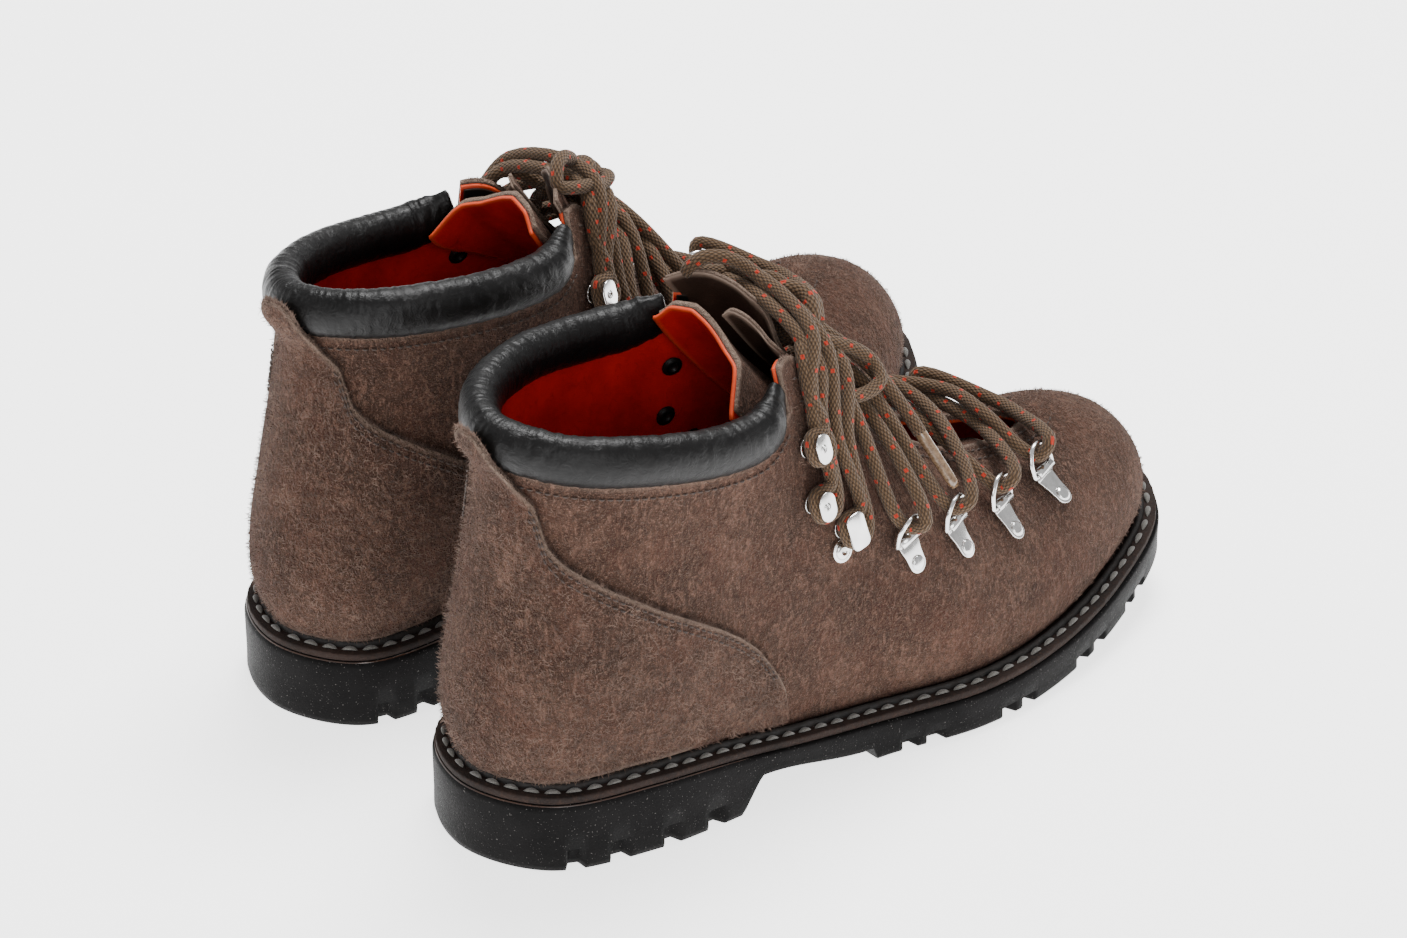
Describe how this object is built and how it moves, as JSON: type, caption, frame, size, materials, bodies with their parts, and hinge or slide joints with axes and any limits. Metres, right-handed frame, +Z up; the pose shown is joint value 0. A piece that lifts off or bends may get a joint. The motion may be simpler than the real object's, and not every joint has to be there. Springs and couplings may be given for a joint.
{
  "type": "hiking boots",
  "caption": "Pair of ankle-high suede hiking boots with padded collar, laced D-rings and hooks, stitched welt and lugged rubber sole.",
  "frame": {"origin": "centre of the pair's bounding box at ground level, where the soles stand", "axes": "+Y towards the toes, +Z up, the right boot on the +X side"},
  "size_m": [0.237, 0.3062, 0.1733],
  "materials": {
    "suede": "rough",
    "counter_suede": "rough",
    "black_leather": "satin",
    "red_leather": "satin",
    "welt_leather": "rough",
    "midsole_leather": "satin",
    "rubber": "matt",
    "cord": "woven",
    "nickel": "polished"
  },
  "bodies": {
    "boot_right": {"right_outsole": "rubber", "right_midsole": "midsole_leather", "right_welt": "welt_leather", "right_insole": "red_leather", "right_upper": "suede", "right_heel_counter": "counter_suede", "right_collar": "black_leather", "right_lining": "red_leather", "right_lace": "cord", "right_bow": "cord", "right_hooks_outer": "nickel", "right_hooks_inner": "nickel", "right_clip_outer_1": "nickel", "right_clip_outer_2": "nickel", "right_clip_outer_3": "nickel", "right_clip_outer_4": "nickel", "right_clip_inner_1": "nickel", "right_clip_inner_2": "nickel", "right_clip_inner_3": "nickel", "right_clip_inner_4": "nickel"},
    "tongue_right": {"right_tongue": "suede", "right_tongue_flaps": "suede"},
    "ring_right_outer_1": {"right_d_ring_outer_1": "nickel"},
    "ring_right_outer_2": {"right_d_ring_outer_2": "nickel"},
    "ring_right_outer_3": {"right_d_ring_outer_3": "nickel"},
    "ring_right_outer_4": {"right_d_ring_outer_4": "nickel"},
    "ring_right_inner_1": {"right_d_ring_inner_1": "nickel"},
    "ring_right_inner_2": {"right_d_ring_inner_2": "nickel"},
    "ring_right_inner_3": {"right_d_ring_inner_3": "nickel"},
    "ring_right_inner_4": {"right_d_ring_inner_4": "nickel"},
    "boot_left": {"left_outsole": "rubber", "left_midsole": "midsole_leather", "left_welt": "welt_leather", "left_insole": "red_leather", "left_upper": "suede", "left_heel_counter": "counter_suede", "left_collar": "black_leather", "left_lining": "red_leather", "left_lace": "cord", "left_bow": "cord", "left_hooks_outer": "nickel", "left_hooks_inner": "nickel", "left_clip_outer_1": "nickel", "left_clip_outer_2": "nickel", "left_clip_outer_3": "nickel", "left_clip_outer_4": "nickel", "left_clip_inner_1": "nickel", "left_clip_inner_2": "nickel", "left_clip_inner_3": "nickel", "left_clip_inner_4": "nickel"},
    "tongue_left": {"left_tongue": "suede", "left_tongue_flaps": "suede"},
    "ring_left_outer_1": {"left_d_ring_outer_1": "nickel"},
    "ring_left_outer_2": {"left_d_ring_outer_2": "nickel"},
    "ring_left_outer_3": {"left_d_ring_outer_3": "nickel"},
    "ring_left_outer_4": {"left_d_ring_outer_4": "nickel"},
    "ring_left_inner_1": {"left_d_ring_inner_1": "nickel"},
    "ring_left_inner_2": {"left_d_ring_inner_2": "nickel"},
    "ring_left_inner_3": {"left_d_ring_inner_3": "nickel"},
    "ring_left_inner_4": {"left_d_ring_inner_4": "nickel"}
  },
  "joints": [
    {"name": "left_boot_lift", "type": "slide", "parent": "boot_right", "child": "boot_left", "axis": [0, 0, 1], "range_m": [0, 0.25]},
    {"name": "tongue_right_fold", "type": "hinge", "parent": "boot_right", "child": "tongue_right", "pos_m": [0.06125, 0.08092, 0.066], "axis": [1, 0, 0], "range_deg": [0, 6]},
    {"name": "tongue_left_fold", "type": "hinge", "parent": "boot_left", "child": "tongue_left", "pos_m": [-0.0643, 0.08527, 0.066], "axis": [0.9972, 0.075, 0], "range_deg": [0, 6]},
    {"name": "ring_right_outer_1_swing", "type": "hinge", "parent": "boot_right", "child": "ring_right_outer_1", "pos_m": [0.0917, 0.07703, 0.07025], "axis": [-0.3321, 0.9386, 0.0935], "range_deg": [-5, 5]},
    {"name": "ring_right_outer_2_swing", "type": "hinge", "parent": "boot_right", "child": "ring_right_outer_2", "pos_m": [0.09855, 0.05142, 0.07034], "axis": [-0.3288, 0.9442, 0.021], "range_deg": [-5, 5]},
    {"name": "ring_right_outer_3_swing", "type": "hinge", "parent": "boot_right", "child": "ring_right_outer_3", "pos_m": [0.10311, 0.02574, 0.07473], "axis": [-0.3186, 0.9358, 0.1511], "range_deg": [-5, 5]},
    {"name": "ring_right_outer_4_swing", "type": "hinge", "parent": "boot_right", "child": "ring_right_outer_4", "pos_m": [0.10519, 0.00292, 0.07813], "axis": [-0.119, 0.9626, 0.2433], "range_deg": [-5, 5]},
    {"name": "ring_right_inner_1_swing", "type": "hinge", "parent": "boot_right", "child": "ring_right_inner_1", "pos_m": [0.0308, 0.07261, 0.07167], "axis": [-0.3336, -0.9393, -0.0797], "range_deg": [-5, 5]},
    {"name": "ring_right_inner_2_swing", "type": "hinge", "parent": "boot_right", "child": "ring_right_inner_2", "pos_m": [0.02529, 0.04589, 0.07336], "axis": [-0.2975, -0.9489, -0.1053], "range_deg": [-5, 5]},
    {"name": "ring_right_inner_3_swing", "type": "hinge", "parent": "boot_right", "child": "ring_right_inner_3", "pos_m": [0.02329, 0.02028, 0.07817], "axis": [-0.2128, -0.9472, -0.2399], "range_deg": [-5, 1.6]},
    {"name": "ring_right_inner_4_swing", "type": "hinge", "parent": "boot_right", "child": "ring_right_inner_4", "pos_m": [0.02255, -0.00159, 0.0826], "axis": [-0.0698, -0.9684, -0.2396], "range_deg": [-5, 5]},
    {"name": "ring_left_outer_1_swing", "type": "hinge", "parent": "boot_left", "child": "ring_left_outer_1", "pos_m": [-0.09437, 0.0791, 0.07025], "axis": [0.2608, 0.9609, 0.0935], "range_deg": [-5, 5]},
    {"name": "ring_left_outer_2_swing", "type": "hinge", "parent": "boot_left", "child": "ring_left_outer_2", "pos_m": [-0.09928, 0.05305, 0.07034], "axis": [0.2571, 0.9662, 0.021], "range_deg": [-5, 5]},
    {"name": "ring_left_outer_3_swing", "type": "hinge", "parent": "boot_left", "child": "ring_left_outer_3", "pos_m": [-0.10191, 0.0271, 0.07473], "axis": [0.2476, 0.957, 0.1511], "range_deg": [-5, 5]},
    {"name": "ring_left_outer_4_swing", "type": "hinge", "parent": "boot_left", "child": "ring_left_outer_4", "pos_m": [-0.10226, 0.00418, 0.07813], "axis": [0.0465, 0.9688, 0.2433], "range_deg": [-5, 5]},
    {"name": "ring_left_inner_1_swing", "type": "hinge", "parent": "boot_left", "child": "ring_left_inner_1", "pos_m": [-0.03331, 0.07926, 0.07167], "axis": [0.4031, -0.9117, -0.0797], "range_deg": [-5, 5]},
    {"name": "ring_left_inner_2_swing", "type": "hinge", "parent": "boot_left", "child": "ring_left_inner_2", "pos_m": [-0.02581, 0.05303, 0.07336], "axis": [0.3678, -0.9239, -0.1053], "range_deg": [-5, 5]},
    {"name": "ring_left_inner_3_swing", "type": "hinge", "parent": "boot_left", "child": "ring_left_inner_3", "pos_m": [-0.0219, 0.02763, 0.07817], "axis": [0.2832, -0.9286, -0.2399], "range_deg": [-1.6, 5]},
    {"name": "ring_left_inner_4_swing", "type": "hinge", "parent": "boot_left", "child": "ring_left_inner_4", "pos_m": [-0.01952, 0.00588, 0.0826], "axis": [0.1422, -0.9604, -0.2396], "range_deg": [-5, 5]}
  ]
}
